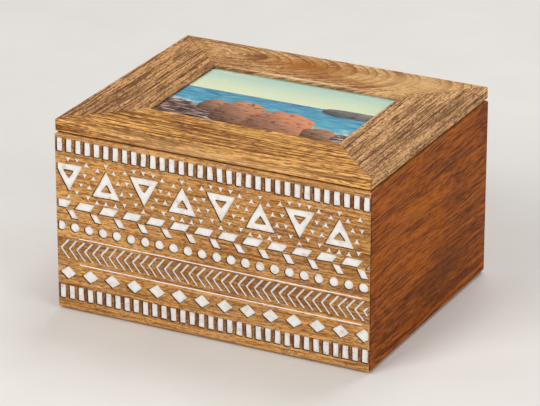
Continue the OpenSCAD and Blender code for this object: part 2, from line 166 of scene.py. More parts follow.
def start_material(name):
    """A new material; gives it with its tree, its shader and the place on the object."""
    material = bpy.data.materials.new(name)
    material.use_nodes = True
    tree = material.node_tree
    place = add_node(tree, "ShaderNodeTexCoord").outputs["Object"]
    return material, tree, tree.nodes["Principled BSDF"], place

def new_group(name, inputs, outputs):
    """An empty shader group with named sockets; gives the group, its inputs and its output node."""
    tree = bpy.data.node_groups.new(name, "ShaderNodeTree")
    for label, kind, value in inputs:
        socket = tree.interface.new_socket(label, in_out="INPUT", socket_type="NodeSocket" + kind)
        if value is not None:
            socket.default_value = value
    for label, kind in outputs:
        tree.interface.new_socket(label, in_out="OUTPUT", socket_type="NodeSocket" + kind)
    return tree, tree.nodes.new("NodeGroupInput").outputs, tree.nodes.new("NodeGroupOutput").inputs

# %% [markdown]
# ## Wood grain as one group
# A board is a slice of a log. Its lines are the log's yearly layers cut lengthwise, so the grain
# group measures how far each point lies from the middle of an imagined log that runs along X. A
# slow noise bends that distance, which makes the lines wander and close into ovals where the cut
# runs near the bark. On top of it come long fine fibres, short dark pores, and broad patches of
# lighter and darker wood. A flat stripe texture could do the lines alone, but not the ovals, nor
# lines that meet at an edge between two faces. The group gives colour, roughness and height.

# %% Wood grain group
grain, given, result = new_group("wood grain", [
    ("Place", "Vector", None), ("Light", "Color", (0.6, 0.4, 0.2, 1)),
    ("Dark", "Color", (0.3, 0.16, 0.07, 1)), ("Pore", "Color", (0.1, 0.05, 0.02, 1)),
    ("Rings per metre", "Float", 300.0), ("Ring strength", "Float", 0.5), ("Wander", "Float", 0.006),
    ("Patch strength", "Float", 0.5), ("Streak strength", "Float", 0.5),
    ("Fibre strength", "Float", 0.5), ("Pore amount", "Float", 0.5), ("Pore length", "Float", 0.005),
    ("Pores per metre", "Float", 800.0),
], [("Colour", "Color"), ("Roughness", "Float"), ("Height", "Float")])

slow = add_node(grain, "ShaderNodeMapping", {"Vector": given["Place"], "Scale": (3.0, 14.0, 14.0)})
bend = add_node(grain, "ShaderNodeTexNoise",
                {"Vector": slow.outputs[0], "Scale": 1.0, "Detail": 2.0, "Roughness": 0.5})
bend_out = add_node(grain, "ShaderNodeVectorMath", {0: bend.outputs["Color"], 1: (0.5, 0.5, 0.5)},
                    operation="SUBTRACT")
bend_by = add_node(grain, "ShaderNodeVectorMath", {0: bend_out.outputs[0], 3: given["Wander"]},
                   operation="SCALE")
bent = add_node(grain, "ShaderNodeVectorMath", {0: given["Place"], 1: bend_by.outputs[0]},
                operation="ADD")
parts = add_node(grain, "ShaderNodeSeparateXYZ", {0: bent.outputs[0]})
flat = add_node(grain, "ShaderNodeCombineXYZ", {"Y": parts.outputs["Y"], "Z": parts.outputs["Z"]})
from_pith = add_node(grain, "ShaderNodeVectorMath", {0: flat.outputs[0]}, operation="LENGTH")
count = calc(grain, "MULTIPLY", from_pith.outputs["Value"], given["Rings per metre"])
width = add_node(grain, "ShaderNodeTexNoise", {"W": count, "Scale": 0.45, "Detail": 2.0},
                 noise_dimensions="1D")
uneven = calc(grain, "MULTIPLY_ADD", width.outputs["Fac"], 2.6, count)
wave = calc(grain, "FRACT", uneven)
ring = ramp(grain, wave, [(0.0, 0.0), (0.62, 0.35), (0.86, 1.0), (1.0, 0.0)])

fibre = stretched_noise(grain, bent.outputs[0], (38.0, 900.0, 900.0), rough=0.75)
streak = stretched_noise(grain, bent.outputs[0], (9.0, 430.0, 430.0), detail=2.0, rough=0.55)
patch = stretched_noise(grain, given["Place"], (7.0, 26.0, 26.0), detail=3.0, shift=(0.31, 0.17, 0.45))
pore_run = calc(grain, "DIVIDE", 1.0, given["Pore length"])
pore_scale = add_node(grain, "ShaderNodeCombineXYZ", {"X": pore_run, "Y": given["Pores per metre"],
                                                       "Z": given["Pores per metre"]})
pore_place = add_node(grain, "ShaderNodeVectorMath", {0: bent.outputs[0], 1: pore_scale.outputs[0]},
                      operation="MULTIPLY")
pore_noise = add_node(grain, "ShaderNodeTexNoise",
                      {"Vector": pore_place.outputs[0], "Scale": 1.0, "Detail": 1.0})
pore = ramp(grain, pore_noise.outputs["Fac"], [(0.0, 1.0), (0.38, 1.0), (0.5, 0.0), (1.0, 0.0)])

ring_part = calc(grain, "MULTIPLY", ring, given["Ring strength"])

def spread(value, strength, gain):
    """How far a noise lies from its middle, times a gain and a strength."""
    away = calc(grain, "SUBTRACT", value, 0.5)
    return calc(grain, "MULTIPLY", calc(grain, "MULTIPLY", away, gain), strength)

darkness = calc(grain, "ADD", ring_part, spread(streak, given["Streak strength"], 4.0))
darkness = calc(grain, "ADD", darkness, spread(patch, given["Patch strength"], 3.5))
darkness = calc(grain, "ADD", darkness, spread(fibre, given["Fibre strength"], 3.2))
darkness = calc(grain, "ADD", darkness, 0.32, clamp=True)
plain = blend_colours(grain, darkness, given["Light"], given["Dark"])
pore_mask = calc(grain, "MULTIPLY", pore, given["Pore amount"], clamp=True)
pored = blend_colours(grain, pore_mask, plain, given["Pore"])
grain.links.new(pored, result["Colour"])
rough = calc(grain, "MULTIPLY_ADD", darkness, -0.10, 0.52)
grain.links.new(calc(grain, "MULTIPLY_ADD", pore_mask, 0.25, rough), result["Roughness"])
height = calc(grain, "MULTIPLY_ADD", fibre, 0.35, calc(grain, "MULTIPLY", pore_mask, -0.8))
grain.links.new(height, result["Height"])
print("wood grain group:", len(grain.nodes), "nodes")

# %% [markdown]
# ## Worn arrises, painted highlights and corner shade as one group
# The level edges of a sanded and waxed box are rubbed thin in places and catch light on their
# rounding, and the upright corners fall into shade where they round over. A point is near an edge
# of a box when it is close to two of its faces at once, so the group takes the box's middle and
# half size, measures how far the point lies from each pair of faces, and turns that into two masks
# broken up by noise: one for the level edges, which are painted pale, partly as wear and partly as
# painted highlight, and one for the upright corners, which are painted dark as painted shade.

# %% Edge group
edge, given, result = new_group("edge wear and light", [
    ("Place", "Vector", None), ("Middle", "Vector", (0, 0, 0)), ("Half size", "Vector", (0.1, 0.1, 0.1)),
    ("Reach", "Float", 0.003),
], [("Level", "Float"), ("Upright", "Float")])
away = add_node(edge, "ShaderNodeVectorMath", {0: given["Place"], 1: given["Middle"]},
                operation="SUBTRACT")
away = add_node(edge, "ShaderNodeVectorMath", {0: away.outputs[0]}, operation="ABSOLUTE")
left = add_node(edge, "ShaderNodeVectorMath", {0: given["Half size"], 1: away.outputs[0]},
                operation="SUBTRACT")
side = add_node(edge, "ShaderNodeSeparateXYZ", {0: left.outputs[0]})
x, y, z = side.outputs[0], side.outputs[1], side.outputs[2]
ragged = add_node(edge, "ShaderNodeTexNoise", {"Vector": given["Place"], "Scale": 160.0, "Detail": 3.0})
# Level: pale edges, partly wear and partly painted highlight. Upright: corners for painted shade.
for label, distance in (
        ("Level", calc(edge, "MINIMUM", calc(edge, "MAXIMUM", y, z), calc(edge, "MAXIMUM", x, z))),
        ("Upright", calc(edge, "MAXIMUM", x, y))):
    wander = calc(edge, "SUBTRACT", ragged.outputs["Fac"], 0.5)
    uneven = calc(edge, "MULTIPLY_ADD", wander, 0.003, distance)
    mask = calc(edge, "SUBTRACT", 1.0, calc(edge, "DIVIDE", uneven, given["Reach"]), clamp=True)
    edge.links.new(mask, result[label])
print("edge wear and light group:", len(edge.nodes), "nodes")

# %% [markdown]
# ## One recipe for every board
# Each board gets its own material, because no two boards of a box share a log. The recipe turns
# the board's own direction into the grain group's X, shifts it to its place in the log, and sets
# the colours. Stains are soft clouds of another shade at a place on the board; most are the wood's
# own colour, and one on the back rail is a painted highlight. A dark line marks the mitres of the
# lid, and the edge group paints the level edges paler, partly as wear and partly as painted
# highlight, and the upright corners darker as painted shade. The shader stays in the material.

# %% Board material
LID_MIDDLE, LID_HALF = (0, 0, 0.14315), (0.125, 0.1, 0.00475)
BODY_MIDDLE, BODY_HALF = (0, 0, 0.0692), (0.125, 0.1, 0.068)
MITRE_OFFSET, MITRE_SHARPNESS, EDGE_REACH = LID_HALF[0] - LID_HALF[1], 1400.0, 0.002
ALONG_X, ALONG_Y = (0, 0, 0), (0, 0, math.radians(90))

def board_material(name, run, pith, light, dark, pore, rings=300.0, ring_strength=0.5, wander=0.006,
                   patch=0.5, streak=0.5, fibre=0.5, pores=0.5, pore_length=0.005, pore_count=800.0,
                   block=(LID_MIDDLE, LID_HALF), rim=(0.70, 0.42, 0.18), rim_wear_and_highlight=0.4,
                   joint_and_corner_shade=(0.12, 0.045, 0.015), corner_shade_amount=0.45, shine=0.1, bump=0.3, stains_and_highlights=(),
                   mitre=0.0):
    """Material of one wooden board: run turns its grain, pith moves it within the log."""
    material, tree, shader, place = start_material(name)
    turned = add_node(tree, "ShaderNodeMapping", {"Vector": place, "Rotation": run, "Location": pith})
    wood = add_node(tree, "ShaderNodeGroup", node_tree=grain)
    tree.links.new(turned.outputs[0], wood.inputs["Place"])
    for label, value in (("Light", (*light, 1)), ("Dark", (*dark, 1)), ("Pore", (*pore, 1)),
                         ("Rings per metre", rings), ("Ring strength", ring_strength),
                         ("Wander", wander), ("Patch strength", patch), ("Streak strength", streak),
                         ("Fibre strength", fibre), ("Pore amount", pores),
                         ("Pore length", pore_length), ("Pores per metre", pore_count)):
        wood.inputs[label].default_value = value
    wood_colour = wood.outputs["Colour"]
    for middle, reach, shade, amount in stains_and_highlights:
        near = add_node(tree, "ShaderNodeVectorMath", {0: place, 1: middle}, operation="SUBTRACT")
        near = add_node(tree, "ShaderNodeVectorMath", {0: near.outputs[0], 1: reach}, operation="DIVIDE")
        far = add_node(tree, "ShaderNodeVectorMath", {0: near.outputs[0]}, operation="LENGTH")
        cloud = add_node(tree, "ShaderNodeTexNoise", {"Vector": near.outputs[0], "Scale": 1.6,
                                                      "Detail": 4.0, "Roughness": 0.6})
        ragged_far = calc(tree, "MULTIPLY_ADD", cloud.outputs["Fac"], 1.3, far.outputs["Value"])
        strength = ramp(tree, calc(tree, "SUBTRACT", ragged_far, 0.65), [(0.15, amount), (1.0, 0.0)])
        wood_colour = blend_colours(tree, strength, wood_colour, shade)
    parts = add_node(tree, "ShaderNodeSeparateXYZ", {0: place})
    from_joint = calc(tree, "SUBTRACT", calc(tree, "ABSOLUTE", parts.outputs["X"]),
                      calc(tree, "ABSOLUTE", parts.outputs["Y"]))
    from_joint = calc(tree, "ABSOLUTE", calc(tree, "SUBTRACT", from_joint, MITRE_OFFSET))
    joint = calc(tree, "MULTIPLY_ADD", from_joint, -MITRE_SHARPNESS, 1.0, clamp=True)
    wood_colour = blend_colours(tree, calc(tree, "MULTIPLY", joint, mitre), wood_colour, joint_and_corner_shade)
    # Level edges are painted pale, partly wear and partly painted highlight; upright corners are painted
    # dark as painted shade.
    edge_wear_and_light = add_node(tree, "ShaderNodeGroup", node_tree=edge)
    tree.links.new(place, edge_wear_and_light.inputs["Place"])
    edge_wear_and_light.inputs["Middle"].default_value, edge_wear_and_light.inputs["Half size"].default_value = block
    edge_wear_and_light.inputs["Reach"].default_value = EDGE_REACH
    darkened = blend_colours(tree, calc(tree, "MULTIPLY", edge_wear_and_light.outputs["Upright"], corner_shade_amount),
                             wood_colour, joint_and_corner_shade)
    colour = blend_colours(tree, calc(tree, "MULTIPLY", edge_wear_and_light.outputs["Level"], rim_wear_and_highlight), darkened, rim)
    tree.links.new(colour, shader.inputs["Base Color"])
    tree.links.new(wood.outputs["Roughness"], shader.inputs["Roughness"])
    add_relief(tree, shader, bump, 0.0004, wood.outputs["Height"])
    shader.inputs["Specular IOR Level"].default_value = shine
    return material

def finish_node(name, *materials):
    """Puts materials into the slots of a CAD solid."""
    slots = nodes[name].data.materials
    slots.clear()
    for material in materials:
        slots.append(material)
    print(name, "->", [m.name for m in materials])

# %% [markdown]
# ## The lid frame
# The two long rails are golden wood with long lines; the rail at the back was cut near the bark
# and shows ovals and a dark knot, and a pale line along its inner edge is a painted highlight. The
# two short stiles came from a greyer plank with open pores, and their grain runs from front to
# back, as it must in a mitred frame.

# %% Lid boards
front_rail = board_material(
    "front rail wood", ALONG_X, (0.03, 0.16, -0.10), (0.98, 0.50, 0.135), (0.20, 0.058, 0.008),
    (0.11, 0.038, 0.010), rings=260.0, ring_strength=0.5, wander=0.02, patch=0.35, streak=0.9,
    fibre=1.9, pores=0.75, pore_length=0.006, pore_count=1000.0, mitre=0.6,
    stains_and_highlights=(((-0.025, -0.075, 0.148), (0.075, 0.0025, 0.01), (0.13, 0.045, 0.012), 0.85),
            ((-0.02, -0.098, 0.147), (0.09, 0.0025, 0.01), (0.12, 0.042, 0.012), 0.7),
            ((0.065, -0.056, 0.148), (0.035, 0.006, 0.01), (0.24, 0.10, 0.025), 0.5),
            ((0.02, -0.062, 0.148), (0.05, 0.008, 0.01), (0.72, 0.40, 0.10), 0.4),
            ((0.0, -0.1004, 0.142), (0.14, 0.0012, 0.006), (0.84, 0.52, 0.25), 0.55)))
back_rail = board_material(
    "back rail wood", (0, math.radians(20), 0), (0.06, -0.080, -0.1706), (0.84, 0.50, 0.21),
    (0.27, 0.095, 0.020), (0.16, 0.065, 0.02), rings=300.0, ring_strength=0.85, wander=0.008,
    patch=0.45, streak=0.35, fibre=0.9, pores=0.4, pore_length=0.006, pore_count=1000.0, mitre=0.5,
    stains_and_highlights=(((-0.055, 0.080, 0.148), (0.014, 0.011, 0.02), (0.15, 0.050, 0.010), 0.85),
            ((-0.012, 0.077, 0.148), (0.048, 0.017, 0.02), (0.36, 0.115, 0.011), 0.9),
            ((0.025, 0.064, 0.148), (0.04, 0.007, 0.02), (0.34, 0.12, 0.020), 0.6),
            ((0.075, 0.080, 0.148), (0.07, 0.020, 0.02), (0.76, 0.47, 0.20), 0.6),
            # A pale line along the inner edge of the back rail: a painted highlight.
            ((0.0, 0.0518, 0.1475), (0.085, 0.0012, 0.003), (0.88, 0.72, 0.50), 0.8)))
right_stile = board_material(
    "right stile wood", ALONG_Y, (0.02, 0.05, -0.09), (0.80, 0.45, 0.20), (0.16, 0.062, 0.018),
    (0.09, 0.035, 0.011), rings=260.0, ring_strength=0.25, wander=0.01, patch=0.3, streak=0.6,
    fibre=1.6, pores=0.75, pore_length=0.004, pore_count=1300.0, mitre=0.6,
    stains_and_highlights=(((0.121, 0.035, 0.147), (0.006, 0.055, 0.01), (0.15, 0.06, 0.02), 0.65),))
left_stile = board_material(
    "left stile wood", ALONG_Y, (0.11, 0.22, -0.09), (0.76, 0.40, 0.16), (0.15, 0.057, 0.016),
    (0.08, 0.031, 0.010), rings=260.0, ring_strength=0.3, wander=0.012, patch=0.4, streak=0.7,
    fibre=1.6, pores=0.75, pore_length=0.004, pore_count=1300.0, mitre=0.6)
finish_node("lid_front_rail", front_rail)
finish_node("lid_back_rail", back_rail)
finish_node("lid_right_stile", right_stile)
finish_node("lid_left_stile", left_stile)

# %% [markdown]
# ## The plain walls
# The sides and the back are darker red-brown wood. Their grain runs level, round the box. The
# right side carries two dark clouds and a paler one, and its upright corners are painted strongly
# dark as shade.

# %% Wall boards
right_side = board_material(
    "right side wood", ALONG_Y, (0.02, 0.03, 0.05), (0.44, 0.115, 0.011), (0.14, 0.029, 0.002),
    (0.05, 0.012, 0.002), rings=110.0, ring_strength=0.22, wander=0.03, patch=0.55, streak=0.8,
    fibre=1.4, pores=0.45, pore_length=0.010, pore_count=1300.0, block=(BODY_MIDDLE, BODY_HALF),
    # Its upright corners are painted strongly dark as painted shade.
    rim=(0.50, 0.26, 0.09), joint_and_corner_shade=(0.045, 0.014, 0.004), corner_shade_amount=0.9, shine=0.05,
    stains_and_highlights=(((0.125, 0.03, 0.032), (0.05, 0.055, 0.026), (0.11, 0.028, 0.003), 0.6),
            ((0.125, 0.05, 0.080), (0.05, 0.04, 0.008), (0.12, 0.030, 0.004), 0.45),
            ((0.125, -0.02, 0.095), (0.05, 0.07, 0.010), (0.50, 0.15, 0.016), 0.35)))
left_side = board_material(
    "left side wood", ALONG_Y, (0.25, 0.20, 0.06), (0.44, 0.12, 0.012), (0.14, 0.030, 0.003),
    (0.05, 0.012, 0.002), rings=110.0, ring_strength=0.25, wander=0.03, patch=0.5, streak=0.7,
    fibre=1.3, pores=0.45, pore_length=0.007, pore_count=1000.0, block=(BODY_MIDDLE, BODY_HALF),
    rim=(0.50, 0.26, 0.09), shine=0.05)
back_side = board_material(
    "back wood", ALONG_X, (0.4, 0.10, 0.05), (0.46, 0.135, 0.018), (0.16, 0.038, 0.005),
    (0.06, 0.015, 0.003), rings=110.0, ring_strength=0.25, wander=0.03, patch=0.5, streak=0.7,
    fibre=1.3, pores=0.45, pore_length=0.007, pore_count=1000.0, block=(BODY_MIDDLE, BODY_HALF),
    rim=(0.50, 0.26, 0.09), shine=0.05)
finish_node("right_side_panel", right_side)
finish_node("left_side_panel", left_side)
finish_node("back_panel", back_side)

# %% [markdown]
# ## The carved front, cut by hand
# The front is the board that makes this box: rows of bars, triangles, leaning blocks, spots,
# chevrons and diamonds are cut a millimetre deep and whitened. The solid has every recess with
# ruler-straight sides. Handwork isn't so even, so the piece is modelled again from a copy: its
# flat front and the floors of the recesses are lifted off, their sides get more points, each
# point is nudged a little along the face by a smooth noise, and front and floors are filled in
# again within the new outlines. A displacement of the finished mesh would bend the face instead
# of the outlines. Two things need care. The noise gets a fixed seed, because otherwise it starts
# from the clock and each run cuts another front. And the operator that fills outlines can fail
# when there are hundreds, so the flat space is split into triangles along all outlines, and a
# walk from the border inwards changes between full and empty at each outline it crosses.

# %% Cut the front outlines by hand
CARVE_DEPTHS = (0.001, 0.0005)
FACE_Y, FACE_X, FACE_LOW, FACE_TOP = -0.1, 0.1242, 0.0034, 0.1352
LEVEL_GAP, POINT_GAP, SHORT_SIDE, FLOOR_SHADE_BORDER = 2e-6, 1e-6, 0.0022, 0.0003
SLOW_SHIFT, QUICK_SHIFT, STILL_BORDER = 0.00042, 0.00011, 0.002
SLOW_WAVES, QUICK_WAVES, NOISE_SEED = 150, 620, 5
noise.seed_set(NOISE_SEED)

def nudge(point):
    """A small shift along the face, the same for all points at one place, none at its border."""
    spot = Vector((point.x, 0, point.z))
    slow = noise.noise_vector(spot * SLOW_WAVES + Vector((3.1, 0, 7.7)))
    quick = noise.noise_vector(spot * QUICK_WAVES + Vector((9.4, 0, 2.3)))
    room = min(FACE_X - abs(point.x), point.z - FACE_LOW, FACE_TOP - point.z)
    free = max(0, min(1, room / STILL_BORDER))
    return (Vector((slow.x, 0, slow.z)) * SLOW_SHIFT + Vector((quick.x, 0, quick.z)) * QUICK_SHIFT) * free

def at_depth(vert, depth):
    return abs(vert.co.y - FACE_Y - depth) < LEVEL_GAP

def on_face(vert):
    return at_depth(vert, 0.0)

def on_floor(vert):
    return any(at_depth(vert, depth) for depth in CARVE_DEPTHS)

def part_of_carving(face):
    """front, floor or side for the faces of the carved front, and None for the rest of the board."""
    if not all(on_face(v) or on_floor(v) for v in face.verts):
        return None
    if all(on_face(v) for v in face.verts):
        return "front"
    return "floor" if all(on_floor(v) for v in face.verts) else "side"

def faces_of(mesh, part):
    return [f for f in mesh.faces if part_of_carving(f) == part]

WITHIN_OUTLINES, SAME_SPOT = 1, 1e-8

def fill_flat(mesh, outlines):
    """Fills the flat space between closed outlines and leaves out what an inner one encloses."""
    verts = list(dict.fromkeys(v for e in outlines for v in e.verts))
    number = {v: i for i, v in enumerate(verts)}
    pairs = [(number[e.verts[0]], number[e.verts[1]]) for e in outlines]
    spots = [Vector((v.co.x, v.co.z)) for v in verts]
    made = delaunay_2d_cdt(spots, pairs, [], WITHIN_OUTLINES, SAME_SPOT)
    corners = [[made[3][i][0] for i in triangle] for triangle in made[2]]
    beside = {}
    for k, triangle in enumerate(corners):
        for i in range(3):
            beside.setdefault(frozenset((triangle[i], triangle[i - 1])), []).append(k)
    outline = {frozenset(pair) for pair in pairs}
    filled = {around[0]: True for around in beside.values() if len(around) == 1}
    waiting = list(filled)
    while waiting:
        k = waiting.pop()
        for i in range(3):
            side = frozenset((corners[k][i], corners[k][i - 1]))
            for other in beside[side]:
                if other not in filled:
                    filled[other] = filled[k] != (side in outline)
                    waiting.append(other)
    for k, triangle in enumerate(corners):
        if filled[k]:
            mesh.faces.new([verts[i] for i in triangle])

mesh = bmesh.new()
mesh.from_mesh(nodes["front_panel"].data)
bmesh.ops.remove_doubles(mesh, verts=mesh.verts, dist=POINT_GAP)
bmesh.ops.delete(mesh, geom=faces_of(mesh, "front") + faces_of(mesh, "floor"),
                 context="FACES_KEEP_BOUNDARY")
across = [e for e in mesh.edges if not e.is_boundary and all(part_of_carving(f) for f in e.link_faces)]
bmesh.ops.dissolve_limit(mesh, angle_limit=0.002, verts=[], edges=across, delimit={"NORMAL"})
long_sides = [e for e in mesh.edges if any(part_of_carving(f) for f in e.link_faces)
              and on_face(e.verts[0]) == on_face(e.verts[1]) and e.calc_length() > SHORT_SIDE]
bmesh.ops.subdivide_edges(mesh, edges=long_sides, cuts=3, use_grid_fill=True)
for v in mesh.verts:
    if any(part_of_carving(f) for f in v.link_faces):
        v.co += nudge(v.co)
rims = [e for e in mesh.edges if e.is_boundary]
for depth in (0.0, *CARVE_DEPTHS):
    fill_flat(mesh, [e for e in rims if all(at_depth(v, depth) for v in e.verts)])
bmesh.ops.recalc_face_normals(mesh, faces=mesh.faces)
deep = [f for f in faces_of(mesh, "floor") if at_depth(f.verts[0], CARVE_DEPTHS[0])]
# A thin border of each deep floor along its sides, painted dark as the shade in the recess corners.
corners = set(bmesh.ops.inset_region(mesh, faces=deep, thickness=FLOOR_SHADE_BORDER, use_even_offset=True,
                                     use_boundary=True)["faces"])
print("sides of the outlines:", len(rims), "faces of the front:", len(faces_of(mesh, "front")))

# %% [markdown]
# ## One mesh, three finishes
# Each face of the front gets the number of its finish: the bare wood, the whitewash of the floors
# and of the thin lines' level sides, or the dark of the deep sides and of a thin border of the deep
# floors along them, which is partly burnt wood and partly painted shade.

# %% Make the carved front an object
BARE, WHITENED, BURNT_AND_SHADED = 0, 1, 2
for f in mesh.faces:
    f.smooth = False
    shallow = all(v.co.y < FACE_Y + CARVE_DEPTHS[1] + LEVEL_GAP for v in f.verts)
    side = WHITENED if shallow and abs(f.normal.z) > 0.9 else BURNT_AND_SHADED
    f.material_index = {"floor": WHITENED, "side": side}.get(part_of_carving(f), BARE)
    if f in corners:
        f.material_index = BURNT_AND_SHADED
front_mesh = bpy.data.meshes.new("carved front")
mesh.to_mesh(front_mesh)
open_edges = sum(1 for e in mesh.edges if not e.is_manifold)
mesh.free()
standing = sum(p.area for p in front_mesh.polygons if abs(p.center.y - FACE_Y) < LEVEL_GAP)
print("wood left standing:", round(standing * 1e4), "cm2 of",
      round(FACE_X * 2 * (FACE_TOP - FACE_LOW) * 1e4))
carved_front = bpy.data.objects.new("carved_front", front_mesh)
scene.collection.objects.link(carved_front)
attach(carved_front, "box")
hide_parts("front_panel")
print("carved front:", len(front_mesh.polygons), "faces, open edges:", open_edges)

# %% [markdown]
# ## Burnt and shaded bands, and rubbed white
# The wood left standing in the rows of bars and between the chevrons is painted dark, partly as
# scorch and partly as the shade that the narrow cuts cast on it, and the field between the rows
# stays honey brown. Height on the face decides, measured along the rows, which run slightly
# downhill to the right; a noise makes the borders of the bands uneven. The white was brushed on
# and wiped off, so thin smears of it stay in the grain near the rows.

# %% Front wood
WALL_TOP, WALL_HEIGHT, ROW_SLOPE, ROUNDING_Y = 0.1372, 0.136, -0.0048, -0.0985
BAND_RAGGEDNESS = 0.0022

def row_height(tree, place):
    """Distance below the top of the wall, in metres, measured along the sloping rows."""
    parts = add_node(tree, "ShaderNodeSeparateXYZ", {0: place})
    down = calc(tree, "SUBTRACT", WALL_TOP, parts.outputs["Z"])
    return calc(tree, "MULTIPLY_ADD", parts.outputs["X"], ROW_SLOPE, down)

front_wood = board_material(
    "front wood", ALONG_X, (0.07, 0.19, 0.03), (0.76, 0.385, 0.115), (0.25, 0.090, 0.019),
    (0.14, 0.05, 0.015), rings=240.0, ring_strength=0.3, wander=0.012, patch=0.3, streak=0.45,
    fibre=1.0, pores=0.6, pore_length=0.004, pore_count=1000.0, block=(BODY_MIDDLE, BODY_HALF),
    corner_shade_amount=0.0, rim=(0.70, 0.42, 0.17), bump=0.35)
tree = front_wood.node_tree
shader = tree.nodes["Principled BSDF"]
wood_colour = shader.inputs["Base Color"].links[0].from_socket
place = next(n for n in tree.nodes if n.type == "TEX_COORD").outputs["Object"]
ragged = add_node(tree, "ShaderNodeTexNoise", {"Vector": place, "Scale": 420.0, "Detail": 3.0})
down = calc(tree, "MULTIPLY_ADD", calc(tree, "SUBTRACT", ragged.outputs["Fac"], 0.5),
            BAND_RAGGEDNESS, row_height(tree, place))
share = calc(tree, "DIVIDE", down, WALL_HEIGHT)
bands = ramp(tree, share, [(0.0, 0.0), (0.022, 0.0), (0.030, 1.0), (0.096, 1.0), (0.106, 0.0),
                           (0.592, 0.0), (0.604, 0.55), (0.70, 0.55), (0.712, 0.0), (0.860, 0.0),
                           (0.868, 1.0), (0.936, 1.0), (0.948, 0.0)])
only_face = calc(tree, "LESS_THAN", add_node(tree, "ShaderNodeSeparateXYZ", {0: place}).outputs["Y"],
                 ROUNDING_Y)
# The dark in the bands is partly scorch and partly painted shade from the narrow cuts.
band_darkness_noise = stretched_noise(tree, place, (650.0, 90.0, 90.0), detail=3.0)
scorch_and_shade_mask = calc(tree, "MULTIPLY", calc(tree, "MULTIPLY", bands, only_face),
                   ramp(tree, band_darkness_noise, [(0.0, 1.0), (0.45, 0.95), (0.64, 0.25)]))
scorched_and_shaded = blend_colours(tree, scorch_and_shade_mask, wood_colour, (0.14, 0.045, 0.012))
smear = stretched_noise(tree, place, (380.0, 600.0, 1300.0), detail=5.0, rough=0.7)
where = add_node(tree, "ShaderNodeTexNoise", {"Vector": place, "Scale": 38.0, "Detail": 2.0})
smear_mask = calc(tree, "MULTIPLY", ramp(tree, smear, [(0.0, 0.0), (0.55, 0.0), (0.65, 0.9)]),
                  ramp(tree, where.outputs["Fac"], [(0.0, 0.0), (0.44, 0.08), (0.62, 0.9)]))
smear_mask = calc(tree, "MULTIPLY", smear_mask, only_face)
tree.links.new(blend_colours(tree, smear_mask, scorched_and_shaded, (0.70, 0.655, 0.59)),
               shader.inputs["Base Color"])

# %% [markdown]
# ## Whitewash, and burnt and shaded cuts
# The floor of each recess is brushed with chalky white that lets some wood through along the
# grain. Its deep sides are dark, partly scorch from the cutter and partly painted shade, and the
# thin border of the floor along them is painted dark as the shade in the corner of the recess.
# Both are materials of their own on the faces of the carved front, so the border between them is
# as sharp as the cut.

# %% Whitewash, and burnt and shaded sides
whitewash, tree, shader, place = start_material("whitewash")
thin = stretched_noise(tree, place, (330.0, 900.0, 1100.0), detail=5.0, rough=0.7)
cloudy = add_node(tree, "ShaderNodeTexNoise", {"Vector": place, "Scale": 190.0, "Detail": 3.0})
mixed = calc(tree, "MULTIPLY_ADD", cloudy.outputs["Fac"], 0.5, calc(tree, "MULTIPLY", thin, 0.5))
worn_through = ramp(tree, mixed, [(0.0, 0.7), (0.37, 0.42), (0.44, 0.04), (1.0, 0.0)])
tone = ramp(tree, cloudy.outputs["Fac"], [(0.3, (0.86, 0.82, 0.76)), (0.6, (0.95, 0.93, 0.90))])
tree.links.new(blend_colours(tree, worn_through, tone, (0.42, 0.27, 0.15)), shader.inputs["Base Color"])
tree.links.new(calc(tree, "MULTIPLY_ADD", thin, -0.2, 0.85), shader.inputs["Roughness"])
add_relief(tree, shader, 0.5, 0.0003, mixed)
shader.inputs["Specular IOR Level"].default_value = 0.3

# Deep sides and the thin floor border: partly scorched wood, partly painted shade in the recesses.
burnt_and_shaded, tree, shader, place = start_material("burnt and shaded sides")
dark_side_noise = add_node(tree, "ShaderNodeTexNoise", {"Vector": place, "Scale": 700.0, "Detail": 3.0})
tree.links.new(ramp(tree, dark_side_noise.outputs["Fac"], [(0.35, (0.025, 0.008, 0.002)), (0.7, (0.12, 0.042, 0.012))]),
               shader.inputs["Base Color"])
tree.links.new(calc(tree, "MULTIPLY_ADD", dark_side_noise.outputs["Fac"], 0.2, 0.6), shader.inputs["Roughness"])
add_relief(tree, shader, 0.4, 0.0002, dark_side_noise.outputs["Fac"])
for material in (front_wood, whitewash, burnt_and_shaded):
    front_mesh.materials.append(material)
print("materials of the front:", [m.name for m in front_mesh.materials])

# %% [markdown]
# ## The picture
# A shop puts a sample print in such a lid. This one is a plain seascape, painted by nodes: a pale
# sky, a blue-green sea, a reef with foam, and sandstone boulders. Each layer is a mask over the
# last, from far to near, the way a scene painter works. Place in the picture runs from 0 to 1 both
# ways.

# %% Paint the print
PRINT_WIDTH, PRINT_DEPTH, HORIZON = 0.1522, 0.1022, 0.61

picture, tree, shader, place = start_material("seascape print")
frac = add_node(tree, "ShaderNodeMapping", {"Vector": place, "Location": (0.5, 0.5, 0.0),
                                            "Scale": (1 / PRINT_WIDTH, 1 / PRINT_DEPTH, 0.0)}).outputs[0]
across_up = add_node(tree, "ShaderNodeSeparateXYZ", {0: frac})
u, v = across_up.outputs["X"], across_up.outputs["Y"]

